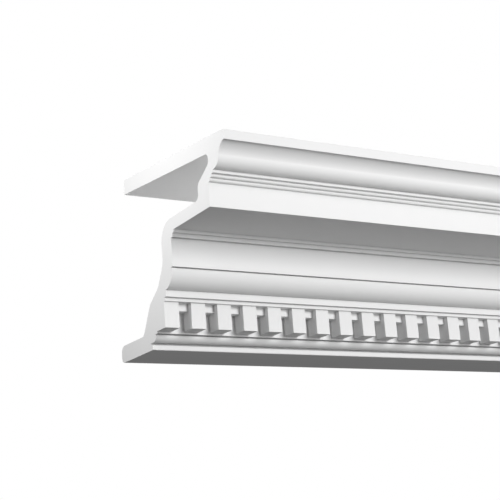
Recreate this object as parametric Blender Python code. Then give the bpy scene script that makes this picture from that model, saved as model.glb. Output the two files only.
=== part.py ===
"""Cornice moulding length: one light casting with a course of dentils and a hollow back.

The profile is drawn across the run: "out" is the distance from the wall and "up" is the
height above the underside. The run lies along X, the wall is the plane Y = 0, and the
front looks towards -Y. The origin is in the middle of the flat at the back of the foot.
"""

import math

import bmesh
import bpy
from mathutils import Matrix, Vector

# Run, dentil course and the strip that shows between the dentils' tops
RUN_LENGTH = 1.015
DENTIL_SPACING = 0.0406
DENTIL_WIDTH = 0.0220
DENTIL_HEIGHT = 0.0357
DENTIL_DEPTH = 0.0248
DENTIL_SETBACK = 0.0030
STRIP_HEIGHT = 0.0103
STRIP_SETBACK = 0.0095

# Foot, from the underside up
FOOT_REACH = 0.1008
FOOT_FILLET_HEIGHT = 0.0070
FOOT_OVOLO_STEP = 0.0018
FOOT_OVOLO_REACH = 0.0100
FOOT_OVOLO_HEIGHT = 0.0120
RECESS_STEP = 0.0045
RECESS_SILL = 0.0037

# Fillets and ovolo above the dentils
DENTIL_FILLET_HEIGHT = 0.0052
OVOLO_FILLET_STEP = 0.0035
OVOLO_FILLET_HEIGHT = 0.0092
OVOLO_REACH = 0.0224
OVOLO_HEIGHT = 0.0250

# Flat band and the two bed fillets under the soffit
BAND_STEP = 0.0024
BAND_HEIGHT = 0.0411
BED_STEP = 0.0044
BED_LOWER_HEIGHT = 0.0052
BED_UPPER_HEIGHT = 0.0042

# Corona: the deep soffit, the plumb fascia and three small fillets
SOFFIT_REACH = 0.1030
FASCIA_HEIGHT = 0.0327
FILLET_COUNT = 3
FILLET_STEP = 0.0045
FILLET_HEIGHT = 0.0042

# Crown: cyma recta, top fillet and the sloping flange
CYMA_STEP = 0.0020
CYMA_LOWER_REACH = 0.0145
CYMA_LOWER_HEIGHT = 0.0148
CYMA_UPPER_REACH = 0.0127
CYMA_UPPER_HEIGHT = 0.0144
CYMA_MIDDLE_LEAN = math.radians(7)
CYMA_TOP_LEAN = math.radians(46)
TOP_FILLET_STEP = 0.0047
TOP_FILLET_HEIGHT = 0.0140
TOP_FILLET_LEAN = 0.0022
FLANGE_SLOPE = math.radians(5.5)
FLANGE_THICKNESS = 0.0220
FLANGE_BACK_GAP = 0.0340

# Hollow back: walls and the round of each inner corner
FACE_WALL = 0.0290
SOFFIT_WALL = 0.0175
CROWN_WALL = 0.0271
CROWN_SLANT_START = 0.0055
CROWN_SLANT_RISE = 0.0185
SHOULDER_RISE = 0.0095
BEND_REACH = 0.0085
BEND_RISE = 0.0170
KNEE_WALL = 0.0180
HEEL_WALL = 0.0265
FOOT_HEIGHT = 0.0240
FOOT_LOWER_ROUND = 0.0070
FOOT_UPPER_ROUND = 0.0100
THROAT_ROUND = 0.0120
SMALL_ROUND = 0.0090
LARGE_ROUND = 0.0280

# Drawing and joining
ARC_STEPS = 8
OVERLAP = 0.0015
NODE_NAME = "cornice_moulding"


def clear_scene():
    """Start from an empty file."""
    for thing in list(bpy.data.objects):
        bpy.data.objects.remove(thing, do_unlink=True)


def new_collection(name):
    """A collection linked to the scene."""
    collection = bpy.data.collections.new(name)
    bpy.context.scene.collection.children.link(collection)
    return collection


def step_out(path, reach):
    """A level soffit."""
    out, up = path[-1]
    path.append((out + reach, up))


def rise(path, height, lean=0.0):
    """A face that stands plumb, or leans back towards the wall at its top."""
    out, up = path[-1]
    path.append((out - lean, up + height))


def ovolo(path, reach, height, lean=0.0):
    """A convex round that starts level and ends plumb, or leaning outwards."""
    out, up = path[-1]
    turn = math.pi / 2 - lean
    for step in range(1, ARC_STEPS + 1):
        angle = turn * step / ARC_STEPS
        across = math.sin(angle) / math.sin(turn)
        along = (1 - math.cos(angle)) / (1 - math.cos(turn))
        path.append((out + reach * across, up + height * along))


def cavetto(path, reach, height, low_lean, high_lean):
    """A hollow round that leans outwards more and more as it rises."""
    out, up = path[-1]
    full_reach = math.cos(low_lean) - math.cos(high_lean)
    full_height = math.sin(high_lean) - math.sin(low_lean)
    for step in range(1, ARC_STEPS + 1):
        angle = low_lean + (high_lean - low_lean) * step / ARC_STEPS
        across = (math.cos(low_lean) - math.cos(angle)) / full_reach
        along = (math.sin(angle) - math.sin(low_lean)) / full_height
        path.append((out + reach * across, up + height * along))


def rounded(before, corner, after, radius):
    """The points of a round at a corner, kept within half of each side."""
    corner = Vector(corner)
    to_before = Vector(before) - corner
    to_after = Vector(after) - corner
    half_angle = to_before.angle(to_after) / 2
    trim = min(radius / math.tan(half_angle), to_before.length / 2, to_after.length / 2)
    radius = trim * math.tan(half_angle)
    middle = to_before.normalized() + to_after.normalized()
    centre = corner + middle.normalized() * (radius / math.sin(half_angle))
    start = corner + to_before.normalized() * trim - centre
    turn = start.angle_signed(corner + to_after.normalized() * trim - centre)
    points = []
    for step in range(ARC_STEPS + 1):
        angle = turn * step / ARC_STEPS
        points.append(tuple(centre + Matrix.Rotation(-angle, 2) @ start))
    return points


def front_profile():
    """The moulded front, from the foot's front corner up to the top corner, and its levels."""
    path = [(FOOT_REACH, 0.0)]
    levels = {}
    rise(path, FOOT_FILLET_HEIGHT)
    step_out(path, FOOT_OVOLO_STEP)
    ovolo(path, FOOT_OVOLO_REACH, FOOT_OVOLO_HEIGHT)
    step_out(path, RECESS_STEP)
    levels["recess"] = path[-1]
    rise(path, RECESS_SILL + DENTIL_HEIGHT - STRIP_HEIGHT)
    step_out(path, DENTIL_DEPTH - STRIP_SETBACK)
    rise(path, STRIP_HEIGHT)
    levels["dentil_top"] = path[-1]
    step_out(path, STRIP_SETBACK + DENTIL_SETBACK)
    rise(path, DENTIL_FILLET_HEIGHT)
    levels["knee"] = path[-1]
    step_out(path, OVOLO_FILLET_STEP)
    rise(path, OVOLO_FILLET_HEIGHT)
    ovolo(path, OVOLO_REACH, OVOLO_HEIGHT)
    step_out(path, BAND_STEP)
    levels["band"] = path[-1]
    rise(path, BAND_HEIGHT)
    step_out(path, BED_STEP)
    rise(path, BED_LOWER_HEIGHT)
    step_out(path, BED_STEP)
    rise(path, BED_UPPER_HEIGHT)
    step_out(path, SOFFIT_REACH)
    levels["fascia"] = path[-1]
    rise(path, FASCIA_HEIGHT)
    for _ in range(FILLET_COUNT):
        step_out(path, FILLET_STEP)
        rise(path, FILLET_HEIGHT)
    step_out(path, CYMA_STEP)
    levels["cyma"] = path[-1]
    ovolo(path, CYMA_LOWER_REACH, CYMA_LOWER_HEIGHT, CYMA_MIDDLE_LEAN)
    cavetto(path, CYMA_UPPER_REACH, CYMA_UPPER_HEIGHT, CYMA_MIDDLE_LEAN, CYMA_TOP_LEAN)
    step_out(path, TOP_FILLET_STEP)
    rise(path, TOP_FILLET_HEIGHT, TOP_FILLET_LEAN)
    levels["top"] = path[-1]
    return path, levels


def flange_line(levels, out, depth_below_top):
    """A point on the sloping flange, this far below its top, at a distance out from the wall."""
    top_out, top_up = levels["top"]
    drop = depth_below_top / math.cos(FLANGE_SLOPE)
    return out, top_up + (top_out - out) * math.tan(FLANGE_SLOPE) - drop


def back_profile(levels):
    """The flange's square end and the hollow back, from the top down to the foot."""
    flange_top = flange_line(levels, FLANGE_BACK_GAP, 0.0)
    flange_under = (
        flange_top[0] - FLANGE_THICKNESS * math.sin(FLANGE_SLOPE),
        flange_top[1] - FLANGE_THICKNESS * math.cos(FLANGE_SLOPE),
    )
    crown_inner = levels["cyma"][0] + CYMA_LOWER_REACH - CROWN_WALL
    throat = flange_line(levels, crown_inner, FLANGE_THICKNESS)
    fascia_inner = levels["fascia"][0] - FACE_WALL
    band_inner = levels["band"][0] - FACE_WALL
    slant_low = levels["fascia"][1] + FASCIA_HEIGHT + CROWN_SLANT_START
    soffit_top = levels["fascia"][1] + SOFFIT_WALL
    bend = (levels["recess"][0] + BEND_REACH, levels["knee"][1] + BEND_RISE)
    heel_out = FOOT_REACH - HEEL_WALL
    corners = [
        (flange_under, 0.0),
        (throat, THROAT_ROUND),
        ((crown_inner, slant_low + CROWN_SLANT_RISE), SMALL_ROUND),
        ((fascia_inner, slant_low), SMALL_ROUND),
        ((fascia_inner, soffit_top), SMALL_ROUND),
        ((band_inner, soffit_top), LARGE_ROUND),
        ((band_inner, levels["band"][1] + SHOULDER_RISE), LARGE_ROUND),
        (bend, LARGE_ROUND),
        ((levels["recess"][0] - KNEE_WALL, levels["knee"][1]), SMALL_ROUND),
        ((heel_out, FOOT_HEIGHT), SMALL_ROUND),
        ((0.0, FOOT_HEIGHT), FOOT_UPPER_ROUND),
        ((0.0, 0.0), FOOT_LOWER_ROUND),
        ((FOOT_REACH, 0.0), 0.0),
    ]
    points = [flange_top, flange_under]
    for index in range(1, len(corners) - 1):
        before = corners[index - 1][0]
        corner, radius = corners[index]
        after = corners[index + 1][0]
        points += rounded(before, corner, after, radius)
    return points


def origin_height():
    """Middle of the flat at the back of the foot."""
    return (FOOT_LOWER_ROUND + FOOT_HEIGHT - FOOT_UPPER_ROUND) / 2


def mesh_object(name, source, collection):
    """Turn a curve object into a welded mesh object and remove the curve."""
    bpy.context.view_layer.update()
    evaluated = source.evaluated_get(bpy.context.evaluated_depsgraph_get())
    mesh = bpy.data.meshes.new_from_object(evaluated)
    mesh.transform(source.matrix_world)
    form = bmesh.new()
    form.from_mesh(mesh)
    bmesh.ops.remove_doubles(form, verts=form.verts, dist=0.00001)
    bmesh.ops.recalc_face_normals(form, faces=form.faces)
    form.to_mesh(mesh)
    form.free()
    mesh.name = name
    bpy.data.objects.remove(source, do_unlink=True)
    made = bpy.data.objects.new(name, mesh)
    collection.objects.link(made)
    return made


def extruded(name, outline, left, right, collection):
    """A closed outline across the run, extruded from left to right along X."""
    curve = bpy.data.curves.new(name, "CURVE")
    curve.dimensions = "2D"
    curve.fill_mode = "BOTH"
    curve.extrude = (right - left) / 2
    spline = curve.splines.new("POLY")
    spline.points.add(len(outline) - 1)
    for point, (out, up) in zip(spline.points, outline):
        point.co = (-out, up, 0.0, 1.0)
    spline.use_cyclic_u = True
    source = bpy.data.objects.new(name, curve)
    collection.objects.link(source)
    # The curve's own X becomes Y, its Y becomes Z and its extrusion runs along X.
    source.matrix_world = Matrix((
        (0.0, 0.0, 1.0, (left + right) / 2),
        (1.0, 0.0, 0.0, 0.0),
        (0.0, 1.0, 0.0, -origin_height()),
        (0.0, 0.0, 0.0, 1.0),
    ))
    return mesh_object(name, source, collection)


def dentil_course(levels, collection):
    """One dentil at the start of each spacing, standing out from the recess wall."""
    wall_out = levels["recess"][0]
    top_up = levels["dentil_top"][1]
    inner, outer = wall_out - OVERLAP, wall_out + DENTIL_DEPTH
    low, high = top_up - DENTIL_HEIGHT, top_up + OVERLAP
    outline = [(inner, low), (outer, low), (outer, high), (inner, high)]
    count = max(1, round(RUN_LENGTH / DENTIL_SPACING))
    spacing = RUN_LENGTH / count
    dentils = []
    for index in range(count):
        left = -RUN_LENGTH / 2 + index * spacing
        dentils.append(extruded("dentil", outline, left, left + DENTIL_WIDTH, collection))
    return dentils


def white_primer():
    """White factory primer on the casting."""
    material = bpy.data.materials.new("white_primer")
    material.use_nodes = True
    shader = material.node_tree.nodes["Principled BSDF"]
    shader.inputs["Base Color"].default_value = (0.86, 0.86, 0.86, 1.0)
    shader.inputs["Roughness"].default_value = 0.65
    shader.inputs["Metallic"].default_value = 0.0
    material.diffuse_color = (0.86, 0.86, 0.86, 1.0)
    return material


def main():
    clear_scene()
    parts = new_collection("cornice_moulding_length")
    makers = new_collection("joined_shapes")
    front, levels = front_profile()
    outline = front + back_profile(levels)
    moulding = extruded(NODE_NAME, outline, -RUN_LENGTH / 2, RUN_LENGTH / 2, parts)
    for dentil in dentil_course(levels, makers):
        dentil.hide_render = True
        dentil.display_type = "WIRE"
    union = moulding.modifiers.new("dentil_course", "BOOLEAN")
    union.operation = "UNION"
    union.operand_type = "COLLECTION"
    union.collection = makers
    union.solver = "EXACT"
    moulding.data.materials.append(white_primer())


main()
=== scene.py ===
# %% [markdown]
# # A length of cornice moulding
#
# The object is one casting in light rigid foam with a white primer. It runs along the top of
# a wall: a foot against the wall, a row of small dentils, an ovolo, a flat band, a deep
# soffit, a plumb fascia and a crown under a sloping flange. The back is hollow, to save
# weight. This lesson loads the measured solid, draws a finer casting in its place, gives it
# its finish, and then sets the camera and the lights.

# %% Load the measured solid
import math

import bmesh
import bpy
from mathutils import Matrix, Vector
from mathutils.geometry import intersect_point_line


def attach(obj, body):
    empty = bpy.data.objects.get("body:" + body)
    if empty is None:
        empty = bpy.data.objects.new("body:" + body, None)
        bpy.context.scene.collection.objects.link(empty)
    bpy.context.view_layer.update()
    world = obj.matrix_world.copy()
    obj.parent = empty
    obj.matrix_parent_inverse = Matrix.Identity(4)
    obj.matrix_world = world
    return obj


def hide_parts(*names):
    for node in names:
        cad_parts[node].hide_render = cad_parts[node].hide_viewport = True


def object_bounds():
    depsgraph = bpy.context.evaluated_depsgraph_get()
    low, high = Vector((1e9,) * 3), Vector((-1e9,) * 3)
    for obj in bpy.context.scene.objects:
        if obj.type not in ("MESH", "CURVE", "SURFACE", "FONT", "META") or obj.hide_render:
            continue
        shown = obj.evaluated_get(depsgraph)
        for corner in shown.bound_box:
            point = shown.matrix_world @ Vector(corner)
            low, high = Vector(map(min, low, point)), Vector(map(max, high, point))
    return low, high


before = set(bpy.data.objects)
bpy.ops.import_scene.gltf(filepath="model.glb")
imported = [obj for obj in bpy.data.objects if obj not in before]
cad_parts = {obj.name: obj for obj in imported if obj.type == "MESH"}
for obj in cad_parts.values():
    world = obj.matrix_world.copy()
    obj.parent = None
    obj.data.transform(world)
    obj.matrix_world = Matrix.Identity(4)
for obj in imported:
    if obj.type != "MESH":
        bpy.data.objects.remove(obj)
CAD_LOW, CAD_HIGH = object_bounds()
print("solid, mm:", [round(1000 * v, 1) for v in CAD_HIGH - CAD_LOW])

# %% [markdown]
# ## The run and its profile
#
# A running mould is described by its profile, the outline of a square cut across the run.
# "Out" is the distance from the wall and "up" is the height above the underside, both in
# metres. Each step and curve has a name in the cell that draws it. The length, and the
# height of the underside, come from the solid, so the new piece stays in its place.

# %% Take the length and the underside from the solid
RUN_LENGTH = CAD_HIGH.x - CAD_LOW.x
UNDERSIDE = CAD_LOW.z
print("length and underside, mm:", round(1000 * RUN_LENGTH, 1), round(1000 * UNDERSIDE, 1))

# %% [markdown]
# ## A pen for the profile
#
# The front of the profile is made of moves that a plasterer would name: a level step out, a
# plumb rise, a convex quarter round (ovolo) and a hollow round (cavetto). Two more are put
# together from these: a quirk, which is a narrow groove under a level step, and a small
# fillet with a rounded lower edge. Each move adds its points to the end of a path, so the
# profile reads from the foot up, move by move. A Bezier curve set by hand could give the
# same outline, but then no size would have a name. The curves get 24 short steps each, fine
# enough to look smooth in a close view.

# %% Draw the moves
CURVE_STEPS = 24


def step_out(path, reach):
    """A level soffit."""
    out, up = path[-1]
    path.append((out + reach, up))


def rise(path, height, lean=0.0):
    """A plumb face, or one that leans back towards the wall at its top."""
    out, up = path[-1]
    path.append((out - lean, up + height))


def ovolo(path, reach, height, lean=0.0):
    """A convex round that starts level and ends plumb, or leaning outwards."""
    out, up = path[-1]
    turn = math.pi / 2 - lean
    for step in range(1, CURVE_STEPS + 1):
        angle = turn * step / CURVE_STEPS
        across = math.sin(angle) / math.sin(turn)
        along = (1 - math.cos(angle)) / (1 - math.cos(turn))
        path.append((out + reach * across, up + height * along))


def cavetto(path, reach, height, low_lean, high_lean):
    """A hollow round that leans outwards more and more as it rises."""
    out, up = path[-1]
    full_reach = math.cos(low_lean) - math.cos(high_lean)
    full_height = math.sin(high_lean) - math.sin(low_lean)
    for step in range(1, CURVE_STEPS + 1):
        angle = low_lean + (high_lean - low_lean) * step / CURVE_STEPS
        across = (math.cos(low_lean) - math.cos(angle)) / full_reach
        along = (math.sin(angle) - math.sin(low_lean)) / full_height
        path.append((out + reach * across, up + height * along))


def quirk(path, height, depth, reach):
    """A narrow groove, with a level step out over it."""
    step_out(path, -depth)
    rise(path, height)
    step_out(path, depth + reach)


def soft_fillet(path, reach, height, size):
    """A small fillet whose lower edge is rounded."""
    step_out(path, reach - size)
    ovolo(path, size, size)
    rise(path, height - size)


# %% [markdown]
# ## The foot
#
# The foot is the lowest moulding: a fillet with a rounded lower edge, and a bead over it. A
# quirk under the bead and another over it part them with thin dark lines. Each quirk takes
# its height from the moulding beside it, so the total height stays the same. A groove could
# also be cut into the finished mesh, but as part of the outline it stays clean along the
# whole run.

# %% Draw the foot
FOOT_REACH = 0.1008
FOOT_EDGE_ROUND = 0.0014
FOOT_FILLET_HEIGHT = 0.0070
FOOT_OVOLO_STEP = 0.0018
FOOT_OVOLO_REACH = 0.0100
FOOT_OVOLO_HEIGHT = 0.0128
BEAD_QUIRK_HEIGHT = 0.0029
BEAD_QUIRK_DEPTH = 0.0055
QUIRK_HEIGHT = 0.0013
QUIRK_DEPTH = 0.0028
RECESS_STEP = 0.0045

levels = {}
front = [(FOOT_REACH - FOOT_EDGE_ROUND, 0.0)]
ovolo(front, FOOT_EDGE_ROUND, FOOT_EDGE_ROUND)
rise(front, FOOT_FILLET_HEIGHT - FOOT_EDGE_ROUND)
quirk(front, BEAD_QUIRK_HEIGHT, BEAD_QUIRK_DEPTH, FOOT_OVOLO_STEP)
ovolo(front, FOOT_OVOLO_REACH, FOOT_OVOLO_HEIGHT - BEAD_QUIRK_HEIGHT - QUIRK_HEIGHT)
quirk(front, QUIRK_HEIGHT, QUIRK_DEPTH, RECESS_STEP)
levels["recess"] = front[-1]
print("the recess starts at, mm:", [round(1000 * v, 1) for v in front[-1]])

# %% [markdown]
# ## The recess of the dentils
#
# Between the foot and the ovolo lies the recess that holds the dentils. The outline drawn
# here is the one in the gap between two dentils: the sill, the plumb back of the recess, and
# the narrow strip that joins the tops of the dentils. The dentils stop and start along the
# run, so they can't be part of an outline. They are added to the casting later.

# %% Draw the recess
RECESS_SILL = 0.0029
DENTIL_HEIGHT = 0.0357
DENTIL_DEPTH = 0.0248
DENTIL_SETBACK = 0.0030
STRIP_HEIGHT = 0.0103
STRIP_SETBACK = 0.0095

rise(front, RECESS_SILL + DENTIL_HEIGHT - STRIP_HEIGHT)
step_out(front, DENTIL_DEPTH - STRIP_SETBACK)
rise(front, STRIP_HEIGHT)
levels["dentil_top"] = front[-1]
print("the dentils end at, mm:", [round(1000 * v, 1) for v in front[-1]])

# %% [markdown]
# ## The ovolo and the flat band
#
# Two fillets with a fine quirk between them close the row of dentils, and the ovolo springs
# from the upper one. The flat band stands over it as a calm face, with two narrow bed
# fillets under the soffit. The quirks here are cut out of the lower fillet and the band.

# %% Draw the ovolo, the band and the bed fillets
DENTIL_FILLET_HEIGHT = 0.0052
FINE_QUIRK = 0.0011
OVOLO_FILLET_STEP = 0.0035
OVOLO_FILLET_HEIGHT = 0.0092
OVOLO_REACH = 0.0224
OVOLO_HEIGHT = 0.0250
BAND_STEP = 0.0024
BAND_HEIGHT = 0.0411
BED_STEP = 0.0044
BED_LOWER_HEIGHT = 0.0052
BED_UPPER_HEIGHT = 0.0042

step_out(front, STRIP_SETBACK + DENTIL_SETBACK)
rise(front, DENTIL_FILLET_HEIGHT - FINE_QUIRK)
quirk(front, FINE_QUIRK, FINE_QUIRK, OVOLO_FILLET_STEP)
levels["knee"] = front[-1]
rise(front, OVOLO_FILLET_HEIGHT)
ovolo(front, OVOLO_REACH, OVOLO_HEIGHT)
quirk(front, QUIRK_HEIGHT, QUIRK_DEPTH, BAND_STEP)
levels["band"] = front[-1]
rise(front, BAND_HEIGHT - QUIRK_HEIGHT - FINE_QUIRK)
quirk(front, FINE_QUIRK, FINE_QUIRK, BED_STEP)
rise(front, BED_LOWER_HEIGHT)
step_out(front, BED_STEP)
rise(front, BED_UPPER_HEIGHT)
print("the soffit starts at, mm:", [round(1000 * v, 1) for v in front[-1]])

# %% [markdown]
# ## The soffit and the fascia
#
# The deep, level soffit carries the crown out from the wall and lies in shade. The fascia
# rises plumb from its front edge, and three small fillets step out over it. Their lower
# edges are rounded, the top one less than the others. The round is one more quarter curve in
# the outline, because a Bevel modifier would round the upper edges as well.

# %% Draw the soffit, the fascia and the small fillets
SOFFIT_REACH = 0.1030
FASCIA_HEIGHT = 0.0327
FILLET_STEP = 0.0045
FILLET_HEIGHT = 0.0042
FILLET_ROUNDS = (0.0029, 0.0027, 0.0013)

step_out(front, SOFFIT_REACH)
levels["fascia"] = front[-1]
rise(front, FASCIA_HEIGHT)
for size in FILLET_ROUNDS:
    soft_fillet(front, FILLET_STEP, FILLET_HEIGHT, size)
print("the crown starts at, mm:", [round(1000 * v, 1) for v in front[-1]])

# %% [markdown]
# ## The crown
#
# The crown is a cyma, an ovolo that goes over into a cavetto. Both have the same lean where
# they meet, and that keeps the join smooth. The top fillet closes it and leans back a
# little towards the wall.

# %% Draw the crown
CYMA_STEP = 0.0020
CYMA_LOWER_REACH = 0.0145
CYMA_LOWER_HEIGHT = 0.0148
CYMA_UPPER_REACH = 0.0127
CYMA_UPPER_HEIGHT = 0.0144
CYMA_MIDDLE_LEAN = math.radians(7)
CYMA_TOP_LEAN = math.radians(46)
TOP_FILLET_STEP = 0.0047
TOP_FILLET_HEIGHT = 0.0140
TOP_FILLET_LEAN = 0.0022

step_out(front, CYMA_STEP)
levels["cyma"] = front[-1]
ovolo(front, CYMA_LOWER_REACH, CYMA_LOWER_HEIGHT, CYMA_MIDDLE_LEAN)
cavetto(front, CYMA_UPPER_REACH, CYMA_UPPER_HEIGHT, CYMA_MIDDLE_LEAN, CYMA_TOP_LEAN)
step_out(front, TOP_FILLET_STEP)
rise(front, TOP_FILLET_HEIGHT, TOP_FILLET_LEAN)
levels["top"] = front[-1]
print("front points:", len(front), "top corner, mm:", [round(1000 * v, 1) for v in front[-1]])

# %% [markdown]
# ## Rounded corners
#
# A cast arris is never quite sharp, and the hollow back turns its corners in generous
# rounds. One helper serves both: it swaps a corner for an arc that touches both of its
# sides. The arc never takes more than half of a side, so a small fillet keeps its form.

# %% Round one corner
def rounded(before, corner, after, radius, steps=CURVE_STEPS):
    """The points of an arc in place of a corner."""
    corner = Vector(corner)
    to_before = Vector(before) - corner
    to_after = Vector(after) - corner
    half_angle = to_before.angle(to_after) / 2
    trim = min(radius / math.tan(half_angle), to_before.length / 2, to_after.length / 2)
    radius = trim * math.tan(half_angle)
    middle = to_before.normalized() + to_after.normalized()
    centre = corner + middle.normalized() * (radius / math.sin(half_angle))
    start = corner + to_before.normalized() * trim - centre
    turn = start.angle_signed(corner + to_after.normalized() * trim - centre)
    points = []
    for step in range(steps + 1):
        points.append(tuple(centre + Matrix.Rotation(-turn * step / steps, 2) @ start))
    return points


# %% [markdown]
# ## The flange
#
# The flange is the slab on top that joins the crown to the wall side. It slopes down to the
# front so that rain runs off, its end is square to its own slope, and it stops short of the
# wall. One helper gives every point on its upper and its lower face.

# %% Draw the end of the flange
FLANGE_SLOPE = math.radians(5.5)
FLANGE_THICKNESS = 0.0220
FLANGE_BACK_GAP = 0.0340


def flange_line(out, depth_below_top):
    """A point on the sloping flange, this far below its top, at a distance from the wall."""
    top_out, top_up = levels["top"]
    drop = depth_below_top / math.cos(FLANGE_SLOPE)
    return out, top_up + (top_out - out) * math.tan(FLANGE_SLOPE) - drop


flange_top = flange_line(FLANGE_BACK_GAP, 0.0)
flange_under = (
    flange_top[0] - FLANGE_THICKNESS * math.sin(FLANGE_SLOPE),
    flange_top[1] - FLANGE_THICKNESS * math.cos(FLANGE_SLOPE),
)
print("back edge of the flange, mm:", [round(1000 * v, 1) for v in flange_top])

# %% [markdown]
# ## The hollow back
#
# The back follows the front at the thickness of each wall, but in a few broad rounds: the
# caster lays the foam against a simple core. It could be made by offsetting the front
# inwards, but that would copy every small step. A list of corners, each with the radius of
# its round, gives the simple form of a core, from the flange down to the foot.

# %% Name the walls and the rounds
FACE_WALL = 0.0290
SOFFIT_WALL = 0.0175
CROWN_WALL = 0.0271
CROWN_SLANT_START = 0.0055
CROWN_SLANT_RISE = 0.0185
SHOULDER_RISE = 0.0095
BEND_REACH = 0.0085
BEND_RISE = 0.0170
KNEE_WALL = 0.0180
HEEL_WALL = 0.0265
FOOT_HEIGHT = 0.0240
FOOT_LOWER_ROUND = 0.0070
FOOT_UPPER_ROUND = 0.0100
THROAT_ROUND = 0.0120
SMALL_ROUND = 0.0090
LARGE_ROUND = 0.0280
print("walls of face, soffit and crown, m:", FACE_WALL, SOFFIT_WALL, CROWN_WALL)

# %% Draw the back
crown_inner = levels["cyma"][0] + CYMA_LOWER_REACH - CROWN_WALL
fascia_inner = levels["fascia"][0] - FACE_WALL
band_inner = levels["band"][0] - FACE_WALL
slant_low = levels["fascia"][1] + FASCIA_HEIGHT + CROWN_SLANT_START
soffit_top = levels["fascia"][1] + SOFFIT_WALL
back_corners = [
    (flange_under, 0.0),
    (flange_line(crown_inner, FLANGE_THICKNESS), THROAT_ROUND),
    ((crown_inner, slant_low + CROWN_SLANT_RISE), SMALL_ROUND),
    ((fascia_inner, slant_low), SMALL_ROUND),
    ((fascia_inner, soffit_top), SMALL_ROUND),
    ((band_inner, soffit_top), LARGE_ROUND),
    ((band_inner, levels["band"][1] + SHOULDER_RISE), LARGE_ROUND),
    ((levels["recess"][0] + BEND_REACH, levels["knee"][1] + BEND_RISE), LARGE_ROUND),
    ((levels["recess"][0] - KNEE_WALL, levels["knee"][1]), SMALL_ROUND),
    ((FOOT_REACH - HEEL_WALL, FOOT_HEIGHT), SMALL_ROUND),
    ((0.0, FOOT_HEIGHT), FOOT_UPPER_ROUND),
    ((0.0, 0.0), FOOT_LOWER_ROUND),
    ((FOOT_REACH, 0.0), 0.0),
]
back = [flange_top, flange_under]
for place in range(1, len(back_corners) - 1):
    corner, radius = back_corners[place]
    back += rounded(back_corners[place - 1][0], corner, back_corners[place + 1][0], radius)
print("back points:", len(back))

# %% [markdown]
# ## Soft arrises
#
# Foam copies its mould with a skin of primer on top, so every edge has a radius of a little
# under half a millimetre. It catches a thin line of light, and without it a render looks cut
# from paper. A Bevel modifier could do this on the finished mesh, but it is cleaner on the
# drawing: every corner that turns by more than 20 degrees gets its small arc here, and the
# short chords of the curves are left as they are.

# %% Soften the outline
ARRIS_RADIUS = 0.0004
ARRIS_STEPS = 4
CORNER_TURN = math.radians(20)


def softened(outline, radius):
    """The closed outline with a small arc at each corner that turns sharply."""
    soft = []
    for place, corner in enumerate(outline):
        before = outline[place - 1]
        after = outline[(place + 1) % len(outline)]
        arriving = Vector(corner) - Vector(before)
        leaving = Vector(after) - Vector(corner)
        if arriving.angle(leaving) > CORNER_TURN:
            soft += rounded(before, corner, after, radius, ARRIS_STEPS)
        else:
            soft.append(corner)
    return soft


profile = softened(front + back, ARRIS_RADIUS)
print("profile points:", len(profile))

# %% [markdown]
# ## The long casting
#
# The profile becomes one face that is extruded along the run. A curve object with a bevel
# profile could sweep it too, but a plain extrusion keeps every long face one clean strip. It
# is made a little too long at both ends: like the real one, it is sawn square to its length
# once the dentils are on.

# %% Extrude the profile
SAW_WASTE = 0.010


def place_in_run(along, out, up):
    """From run, out and up to the frame: the wall is Y = 0 and the front looks to -Y."""
    return along, -out, up + UNDERSIDE


def new_piece(name, form):
    """A mesh object made from a bmesh, with its faces pointing out."""
    bmesh.ops.recalc_face_normals(form, faces=form.faces)
    mesh = bpy.data.meshes.new(name)
    form.to_mesh(mesh)
    form.free()
    piece = bpy.data.objects.new(name, mesh)
    bpy.context.scene.collection.objects.link(piece)
    return piece


form = bmesh.new()
left_end = -RUN_LENGTH / 2 - SAW_WASTE
section = form.faces.new([form.verts.new(place_in_run(left_end, out, up)) for out, up in profile])
swept = bmesh.ops.extrude_face_region(form, geom=[section])["geom"]
far_corners = [item for item in swept if isinstance(item, bmesh.types.BMVert)]
bmesh.ops.translate(form, verts=far_corners, vec=(RUN_LENGTH + 2 * SAW_WASTE, 0, 0))
casting = new_piece("cornice_casting", form)
print("casting faces:", len(casting.data.polygons))

# %% [markdown]
# ## The dentils
#
# The dentils are cast with the rest, one to each spacing. In Blender they start as cubes
# with a small bevel, all in one mesh, and a Boolean union makes them one body with the
# casting. An Array modifier could repeat one dentil, but here the first one differs: it
# starts in the sawn-off waste, so that the saw leaves its side flush.

# %% Make the course of dentils
DENTIL_SPACING = 0.0406
DENTIL_WIDTH = 0.0220
SINK = 0.0015
BEVEL_STEPS = 3
ROUND_BEVEL = 0.5

form = bmesh.new()
count = max(1, round(RUN_LENGTH / DENTIL_SPACING))
spacing = RUN_LENGTH / count
recess_out = levels["recess"][0]
dentil_top = levels["dentil_top"][1]
for number in range(count):
    start = -RUN_LENGTH / 2 + number * spacing
    waste = SAW_WASTE / 2 if number == 0 else 0.0
    low = (start - waste, recess_out - SINK, dentil_top - DENTIL_HEIGHT)
    high = (start + DENTIL_WIDTH, recess_out + DENTIL_DEPTH, dentil_top + SINK)
    middle = [(a + b) / 2 for a, b in zip(low, high)]
    size = [b - a for a, b in zip(low, high)]
    matrix = Matrix.Translation(place_in_run(*middle)) @ Matrix.Diagonal((*size, 1.0))
    cube = bmesh.ops.create_cube(form, size=1.0, matrix=matrix)
    edges = {edge for corner in cube["verts"] for edge in corner.link_edges}
    bmesh.ops.bevel(
        form, geom=list(edges), offset=ARRIS_RADIUS, segments=BEVEL_STEPS,
        profile=ROUND_BEVEL, affect="EDGES",
    )
dentils = new_piece("dentil_course", form)
print("dentils:", count, "spacing, mm:", round(1000 * spacing, 2))

# %% [markdown]
# ## One body
#
# The cubes sink a little into the casting, and the Boolean joins them where they overlap.
# The EXACT solver is used because each dentil sinks into several faces at once. The result
# is taken over as the casting's own mesh, so that the saw can cut both together.

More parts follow.
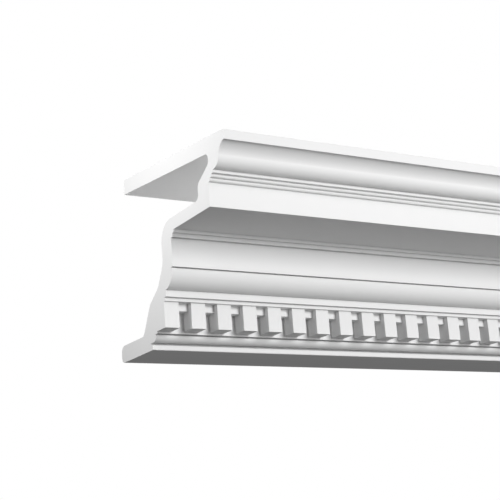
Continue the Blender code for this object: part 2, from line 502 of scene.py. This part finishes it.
# %% Join the dentils to the casting
union = casting.modifiers.new("dentils", "BOOLEAN")
union.operation = "UNION"
union.solver = "EXACT"
union.object = dentils
evaluated = casting.evaluated_get(bpy.context.evaluated_depsgraph_get())
joined = bpy.data.meshes.new_from_object(evaluated)
casting.modifiers.clear()
casting.data = joined
bpy.data.objects.remove(dentils)
print("with", count, "dentils:", len(casting.data.polygons), "faces")

# %% [markdown]
# ## The saw cuts
#
# Two planes cut the waste away. Bisecting leaves an open end, and filling its rim gives the
# flat sawn face. The volume printed at the end tells the weight: foam of 300 kg per cubic
# metre weighs 0.3 kg a litre.

# %% Saw both ends
CUT_TOLERANCE = 0.000001

form = bmesh.new()
form.from_mesh(casting.data)
for side in (-1, 1):
    cut = bmesh.ops.bisect_plane(
        form,
        geom=form.verts[:] + form.edges[:] + form.faces[:],
        dist=CUT_TOLERANCE,
        plane_co=(side * RUN_LENGTH / 2, 0, 0),
        plane_no=(side, 0, 0),
        clear_outer=True,
    )
    rim = [item for item in cut["geom_cut"] if isinstance(item, bmesh.types.BMEdge)]
    bmesh.ops.holes_fill(form, edges=rim, sides=0)
bmesh.ops.recalc_face_normals(form, faces=form.faces)
open_edges = [edge for edge in form.edges if not edge.is_manifold]
print("volume, litres:", round(1000 * form.calc_volume(), 2), "open edges:", len(open_edges))
form.to_mesh(casting.data)
form.free()

# %% [markdown]
# ## Shading and its place in the model
#
# A long flat face beside a tiny round one looks dented if their normals are simply averaged.
# Weighted normals let the big faces win, and edges that turn by more than the angle below
# stay crisp. Then the casting is tied to the model: it moves with the body, and it stands
# for the measured solid, which is hidden.

# %% Shade it and tie it to the body
CRISP_TURN = math.radians(32)
FACE_WEIGHT = 60

casting.data.shade_smooth()
casting.data.set_sharp_from_angle(angle=CRISP_TURN)
weighted = casting.modifiers.new("flat_faces_stay_flat", "WEIGHTED_NORMAL")
weighted.keep_sharp = True
weighted.weight = FACE_WEIGHT

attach(casting, "root")
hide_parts("cornice_moulding")

# %% [markdown]
# ## Three kinds of surface
#
# The front, the top and the underside come out of the mould with a smooth skin and get the
# factory primer. The ends are bare foam where the saw went through. The hollow back only
# carries the skin of the core, with flow marks, because nobody sees it once the length is
# up. Each face gets the number of its finish. A face belongs to the back if its middle lies
# on the back's path, and to a sawn end if it looks along the run.

# %% Sort the faces by finish
PRIMED = 0
SAWN = 1
BACK = 2
ON_PATH = 0.0002
ALONG_THE_RUN = 0.999


def on_path(point, path):
    """True where a point of the section lies on one of the path's lines."""
    for start, end in zip(path, path[1:]):
        nearest, share = intersect_point_line(point, start, end)
        if 0 <= share <= 1 and (nearest - point).length < ON_PATH:
            return True
    return False


back_path = [Vector(point) for point in back]
counts = {PRIMED: 0, SAWN: 0, BACK: 0}
for face in casting.data.polygons:
    at_end = RUN_LENGTH / 2 - abs(face.center.x) < ON_PATH
    if at_end and abs(face.normal.x) > ALONG_THE_RUN:
        finish = SAWN
    elif on_path(Vector((-face.center.y, face.center.z - UNDERSIDE)), back_path):
        finish = BACK
    else:
        finish = PRIMED
    face.material_index = finish
    counts[finish] += 1
print("primed, sawn and back faces:", list(counts.values()))

# %% [markdown]
# ## Node groups as a toolbox
#
# The three finishes share some effects: small relief, slow changes of tone, and shade painted
# into tight corners. Each effect is built once as a node group with named sockets, and each
# material uses it with its own values. The helpers below make a group with its sockets, link
# its nodes, and keep the later cells short.

# %% Helpers for node groups
def new_group(name, inputs, outputs):
    """A shader node group with its sockets, as (group, inside input, inside output)."""
    group = bpy.data.node_groups.new(name, "ShaderNodeTree")
    for label, kind, value in inputs:
        socket = group.interface.new_socket(label, in_out="INPUT", socket_type="NodeSocket" + kind)
        socket.default_value = value
    for label, kind in outputs:
        group.interface.new_socket(label, in_out="OUTPUT", socket_type="NodeSocket" + kind)
    return group, group.nodes.new("NodeGroupInput"), group.nodes.new("NodeGroupOutput")


def connect(tree, source, node, label):
    """Links an output socket to an input, or sets the input if the source is a plain value."""
    if isinstance(source, bpy.types.NodeSocket):
        tree.links.new(source, node.inputs[label])
    else:
        node.inputs[label].default_value = source


def math_node(tree, operation, first, second):
    """One step of arithmetic on two values or sockets."""
    node = tree.nodes.new("ShaderNodeMath")
    node.operation = operation
    connect(tree, first, node, 0)
    connect(tree, second, node, 1)
    return node.outputs[0]


def noise_of_size(tree, size, detail):
    """Noise from 0 to 1 whose blobs have this size in metres, fixed to the object."""
    place = tree.nodes.new("ShaderNodeTexCoord")
    noise = tree.nodes.new("ShaderNodeTexNoise")
    noise.inputs["Detail"].default_value = detail
    tree.links.new(place.outputs["Object"], noise.inputs["Vector"])
    tree.links.new(math_node(tree, "DIVIDE", 1.0, size), noise.inputs["Scale"])
    return noise.outputs["Fac"]


def scaled_colour(tree, colour, factor):
    """A colour multiplied by a value that stays close to one."""
    scale = tree.nodes.new("ShaderNodeVectorMath")
    scale.operation = "SCALE"
    tree.links.new(colour, scale.inputs[0])
    tree.links.new(factor, scale.inputs["Scale"])
    return scale.outputs[0]


# %% [markdown]
# ## Relief too small to model
#
# A mould made by hand is never perfectly flat: its long faces wander by a few hundredths of
# a millimetre, and sprayed primer dries with a fine grain like eggshell. Both are heights in
# metres from two noises, a broad one and a fine one. A Bump node turns them into normals, so
# the outline of the casting stays true.

# %% Group for small relief
WAVE_DETAIL = 1.0
GRAIN_DETAIL = 2.0


def build_relief():
    """A height in metres from broad waves and a fine grain."""
    group, given, result = new_group(
        "small_relief",
        [("Wave Size", "Float", 0.06), ("Wave Depth", "Float", 0.00005),
         ("Grain Size", "Float", 0.0012), ("Grain Depth", "Float", 0.00001)],
        [("Height", "Float")],
    )
    wave = noise_of_size(group, given.outputs["Wave Size"], WAVE_DETAIL)
    grain = noise_of_size(group, given.outputs["Grain Size"], GRAIN_DETAIL)
    wave_height = math_node(group, "MULTIPLY", wave, given.outputs["Wave Depth"])
    grain_height = math_node(group, "MULTIPLY", grain, given.outputs["Grain Depth"])
    total = math_node(group, "ADD", wave_height, grain_height)
    group.links.new(total, result.inputs["Height"])
    return group


small_relief = build_relief()
print(small_relief.name, [item.name for item in small_relief.interface.items_tree])

# %% [markdown]
# ## Slow changes of tone
#
# White primer isn't one white. The coat is a little thicker here and thinner there, and it
# holds a fine speckle. The group multiplies a colour by a value that stays close to one. Its
# patches and specks are noise in the object's own space, so they stay where they are when
# the piece is turned, and the mesh needs no unwrapping as it would for a painted image.

# %% Group for tone
PATCH_DETAIL = 3.0
SPECK_DETAIL = 0.0
NOISE_MIDDLE = 0.5


def build_tone():
    """A colour with broad patches and a fine speckle."""
    group, given, result = new_group(
        "tone_drift",
        [("Color", "Color", (0.8, 0.8, 0.8, 1.0)), ("Patch Size", "Float", 0.05),
         ("Patch Strength", "Float", 0.03), ("Speck Size", "Float", 0.001),
         ("Speck Strength", "Float", 0.01)],
        [("Color", "Color")],
    )
    patch = noise_of_size(group, given.outputs["Patch Size"], PATCH_DETAIL)
    speck = noise_of_size(group, given.outputs["Speck Size"], SPECK_DETAIL)
    total = 1.0
    for noise, strength in ((patch, "Patch Strength"), (speck, "Speck Strength")):
        centred = math_node(group, "SUBTRACT", noise, NOISE_MIDDLE)
        drift = math_node(group, "MULTIPLY", centred, given.outputs[strength])
        total = math_node(group, "ADD", total, drift)
    colour = scaled_colour(group, given.outputs["Color"], total)
    group.links.new(colour, result.inputs["Color"])
    return group


tone_drift = build_tone()
print(tone_drift.name, [item.name for item in tone_drift.interface.items_tree])

# %% [markdown]
# ## Painted shade in the quirks
#
# The colour is darkened in tight corners. This is painted shade, so that the thin dark lines
# between the mouldings come out darker than the lamps alone make them. An Ambient Occlusion
# node with a short reach measures how deep in a corner a point lies: one in the open, and
# less in a corner.

# %% Group for the painted shade in the quirks
PAINTED_SHADE_RAYS = 12


def build_painted_quirk_shade():
    """A colour with shade painted into tight corners."""
    group, given, result = new_group(
        "painted_quirk_shade",
        [("Color", "Color", (0.8, 0.8, 0.8, 1.0)), ("Reach", "Float", 0.005),
         ("Strength", "Float", 0.5)],
        [("Color", "Color")],
    )
    corner = group.nodes.new("ShaderNodeAmbientOcclusion")
    corner.samples = PAINTED_SHADE_RAYS
    group.links.new(given.outputs["Reach"], corner.inputs["Distance"])
    # Painted shade: the colour is darkened as far as the corner closes in.
    closed = math_node(group, "SUBTRACT", 1.0, corner.outputs["AO"])
    painted_shade = math_node(group, "MULTIPLY", closed, given.outputs["Strength"])
    kept = math_node(group, "SUBTRACT", 1.0, painted_shade)
    colour = scaled_colour(group, given.outputs["Color"], kept)
    group.links.new(colour, result.inputs["Color"])
    return group


painted_quirk_shade = build_painted_quirk_shade()
print(painted_quirk_shade.name, [item.name for item in painted_quirk_shade.interface.items_tree])

# %% [markdown]
# ## A material from the groups
#
# Every finish is built the same way: tone, then the painted shade of the quirks, go to the
# colour, and relief goes through a Bump node to the normal. What is the same all over a
# surface, such as its specular level, is set straight on the Principled BSDF. The relief is
# already in metres, so the Bump node takes it at full height.

# %% Helper for a finish
SPECULAR_LEVEL = 0.35
FULL_HEIGHT = 1.0


def place_group(material, group, values):
    """Puts a node group in a material and sets its named inputs."""
    node = material.node_tree.nodes.new("ShaderNodeGroup")
    node.node_tree = group
    for label, value in values.items():
        node.inputs[label].default_value = value
    return node


def finish_material(name, tone, quirk, relief, roughness):
    """A matt finish: tone and painted corner shade give its colour, relief gives its normal."""
    material = bpy.data.materials.new(name)
    material.use_nodes = True
    tree = material.node_tree
    shader = tree.nodes["Principled BSDF"]
    shader.inputs["Roughness"].default_value = roughness
    shader.inputs["Specular IOR Level"].default_value = SPECULAR_LEVEL
    tone_node = place_group(material, tone_drift, tone)
    # Shade is painted into the corners by darkening the toned colour.
    painted_shade_node = place_group(material, painted_quirk_shade, quirk)
    tree.links.new(tone_node.outputs["Color"], painted_shade_node.inputs["Color"])
    tree.links.new(painted_shade_node.outputs["Color"], shader.inputs["Base Color"])
    relief_node = place_group(material, small_relief, relief)
    bump = tree.nodes.new("ShaderNodeBump")
    bump.inputs["Distance"].default_value = FULL_HEIGHT
    tree.links.new(relief_node.outputs["Height"], bump.inputs["Height"])
    tree.links.new(bump.outputs["Normal"], shader.inputs["Normal"])
    return material


# %% [markdown]
# ## White primer
#
# The front, the top and the underside are sprayed in the factory with a matt white primer,
# ready for the painter on site. It could be one plain white, but then the long faces would
# look like plastic. A faint drift of tone, a wander of a few hundredths of a millimetre and
# a fine grain are enough to make them read as a coat on foam.

# %% Finish of the primed faces
primer = finish_material(
    "white_primer",
    tone={"Color": (0.80, 0.80, 0.80, 1.0), "Patch Size": 0.06, "Patch Strength": 0.03,
          "Speck Size": 0.0011, "Speck Strength": 0.015},
    # The quirk values paint shade into the tight corners of the primer.
    quirk={"Reach": 0.005, "Strength": 0.3},
    relief={"Wave Size": 0.045, "Wave Depth": 0.00006, "Grain Size": 0.0014, "Grain Depth": 0.00001},
    roughness=0.6,
)
print("finish:", primer.name)

# %% [markdown]
# ## Sawn foam
#
# The saw opens the foam: the cut is a fine, even field of cells about half a millimetre
# wide, without gloss. The cells could be modelled as pits, but at this size a grain in the
# relief and a speckle in the colour do the same work with no extra faces. A flat cut has no
# corners, so the painted shade of the quirks has no strength here.

# %% Finish of the sawn ends
sawn = finish_material(
    "sawn_foam",
    tone={"Color": (0.80, 0.80, 0.80, 1.0), "Patch Size": 0.02, "Patch Strength": 0.02,
          "Speck Size": 0.0007, "Speck Strength": 0.03},
    quirk={"Reach": 0.006, "Strength": 0.0},
    relief={"Wave Size": 0.012, "Wave Depth": 0.00001, "Grain Size": 0.0006, "Grain Depth": 0.00002},
    roughness=0.9,
)
print("finish:", sawn.name)

# %% [markdown]
# ## The skin of the core
#
# The core that shapes the hollow back leaves a duller skin with flow marks, low waves where
# the foam ran as it rose. They could be sculpted into the mesh, but this side faces the
# wall, so deeper waves in the relief and stronger patches of tone are enough. The three
# finishes then go into the casting's slots, in the order of the numbers on its faces.

# %% Finish of the back
back_skin = finish_material(
    "core_skin",
    tone={"Color": (0.78, 0.78, 0.78, 1.0), "Patch Size": 0.03, "Patch Strength": 0.08,
          "Speck Size": 0.0012, "Speck Strength": 0.03},
    # The quirk values paint shade into the corners of the back as well.
    quirk={"Reach": 0.010, "Strength": 0.3},
    relief={"Wave Size": 0.03, "Wave Depth": 0.0002, "Grain Size": 0.0015, "Grain Depth": 0.00002},
    roughness=0.75,
)
casting.data.materials.clear()
for material in (primer, sawn, back_skin):
    casting.data.materials.append(material)
print("finishes:", [slot.name for slot in casting.data.materials])

# %% [markdown]
# ## The camera
#
# The picture is taken from below and from the left of the sawn end, with a long lens. The
# camera's place and its three angles are named, and the rotation is built from them in the
# order that a photographer would set a tripod: turn to the heading, tilt up, then roll. A
# Track To constraint could aim the camera as well, but it would leave no room for the roll.

# %% Set the camera
FOCAL_PIXELS = 1195
PICTURE_WIDTH = 500
SENSOR_WIDTH = 36.0
CAMERA_PLACE = (-1.2155, -1.54382, -0.31351)
HEADING = math.radians(31.1948)
TILT_UP = math.radians(15.1393)
ROLL = math.radians(4.3085)

lens = bpy.data.cameras.new("camera")
lens.sensor_width = SENSOR_WIDTH
lens.lens = SENSOR_WIDTH * FOCAL_PIXELS / PICTURE_WIDTH
camera = bpy.data.objects.new("camera", lens)
bpy.context.scene.collection.objects.link(camera)
bpy.context.scene.camera = camera
turn = (
    Matrix.Rotation(-HEADING, 4, "Z")
    @ Matrix.Rotation(math.pi / 2 + TILT_UP, 4, "X")
    @ Matrix.Rotation(-ROLL, 4, "Z")
)
camera.matrix_world = Matrix.Translation(CAMERA_PLACE) @ turn
print("lens, mm:", round(lens.lens, 1))

# %% [markdown]
# ## Soft studio light
#
# White relief is read by its shadows, so the light is large, soft and mostly from one side.
# One broad softbox stands in front. It is almost level with the moulding, so the deep soffit
# stays dark while the flat band under it still gets light. Weak lamps on the left, from
# above and from below lift its shadows, a small one lights the sawn end, and a narrow one
# behind reaches the hollow under the flange. The last three, behind, at the right and over
# the top, are there for views from the other sides. Area lamps are used because a point lamp
# would draw hard edges round every dentil.

# %% Set the lamps
def softbox(name, place, aim, width, height, watts):
    """A rectangular area lamp that looks from its place to the aim, unseen by the camera."""
    data = bpy.data.lights.new(name, "AREA")
    data.shape = "RECTANGLE"
    data.size = width
    data.size_y = height
    data.energy = watts
    lamp = bpy.data.objects.new(name, data)
    lamp.location = place
    lamp.rotation_euler = (Vector(aim) - Vector(place)).to_track_quat("-Z", "Y").to_euler()
    lamp.visible_camera = False
    bpy.context.scene.collection.objects.link(lamp)


MIDDLE = (-0.25, -0.17, 0.13)
softbox("front_box", (0.374, -3.104, 0.541), MIDDLE, 1.1, 1.25, 72.0)
softbox("left_fill", (-2.6, -1.2, 0.1), MIDDLE, 0.8, 0.8, 5.0)
softbox("high_fill", (0.08, -2.06, 1.73), MIDDLE, 1.0, 0.5, 5.0)
softbox("low_fill", (0.05, -1.876, -0.87), MIDDLE, 1.2, 0.6, 3.7)
softbox("end_lamp", (-1.0, -0.17, 0.38), MIDDLE, 0.3, 0.3, 3.1)
softbox("hollow_lamp", (0.0, 0.5, 0.07), (-0.3, 0.0, 0.12), 0.8, 0.14, 1.6)
softbox("rear_box", (0.0, 2.2, 0.5), MIDDLE, 1.4, 0.8, 16.0)
softbox("right_fill", (2.4, 0.4, 0.4), MIDDLE, 0.8, 0.8, 16.0)
softbox("top_box", (0.1, 0.5, 1.8), MIDDLE, 1.2, 1.2, 11.0)

# %% [markdown]
# ## The room
#
# The background is plain white, but only for the camera: as a lamp it would wash out every
# shadow, so the other rays see a dim grey room. A Light Path node tells the camera's rays
# from the rest, and a Mix Shader picks the background for each.

# %% Set the room
BACKDROP_WHITE = 1.0
ROOM_GLOW = 0.145
WHITE = (1.0, 1.0, 1.0, 1.0)

room = bpy.data.worlds.new("studio")
bpy.context.scene.world = room
room.use_nodes = True
tree = room.node_tree
glow = tree.nodes["Background"]
glow.inputs["Color"].default_value = WHITE
glow.inputs["Strength"].default_value = ROOM_GLOW
backdrop = tree.nodes.new("ShaderNodeBackground")
backdrop.inputs["Strength"].default_value = BACKDROP_WHITE
backdrop.inputs["Color"].default_value = WHITE
seen = tree.nodes.new("ShaderNodeLightPath")
either = tree.nodes.new("ShaderNodeMixShader")
tree.links.new(seen.outputs["Is Camera Ray"], either.inputs["Fac"])
tree.links.new(glow.outputs["Background"], either.inputs[1])
tree.links.new(backdrop.outputs["Background"], either.inputs[2])
tree.links.new(either.outputs["Shader"], tree.nodes["World Output"].inputs["Surface"])
bpy.context.scene.view_settings.view_transform = "Standard"
print("room:", room.name, "glow:", ROOM_GLOW)

# %% [markdown]
# ## The floor
#
# The casting hangs in the air, and the floor lies far below it. Light that came back from a
# pale floor would fill the undersides, which are dark in the picture. The floor is therefore
# hidden from diffuse and glossy rays, and a wide lamp half way down looks at it alone, so
# that it is pale in the views from above.

# %% Lay the floor
FLOOR_LEVEL = -1.2
FLOOR_SIDE = 30.0
FLOOR_WATTS = 1300.0

bpy.ops.mesh.primitive_plane_add(size=FLOOR_SIDE, location=(0, 0, FLOOR_LEVEL))
floor = bpy.context.object
floor.name = "pale_floor"
floor.visible_diffuse = False
floor.visible_glossy = False
floor.data.materials.append(finish_material(
    "pale_floor_paint",
    tone={"Color": (0.8, 0.8, 0.8, 1.0), "Patch Size": 0.8, "Patch Strength": 0.03,
          "Speck Size": 0.01, "Speck Strength": 0.01},
    quirk={"Reach": 0.01, "Strength": 0.0},
    relief={"Wave Size": 0.5, "Wave Depth": 0.0002, "Grain Size": 0.005, "Grain Depth": 0.00005},
    roughness=0.8,
))
half_way_down = (0.0, 0.0, FLOOR_LEVEL / 2)
floor_middle = (0.0, 0.0, FLOOR_LEVEL)
softbox("floor_lamp", half_way_down, floor_middle, FLOOR_SIDE, FLOOR_SIDE, FLOOR_WATTS)
print("floor level, m:", FLOOR_LEVEL)
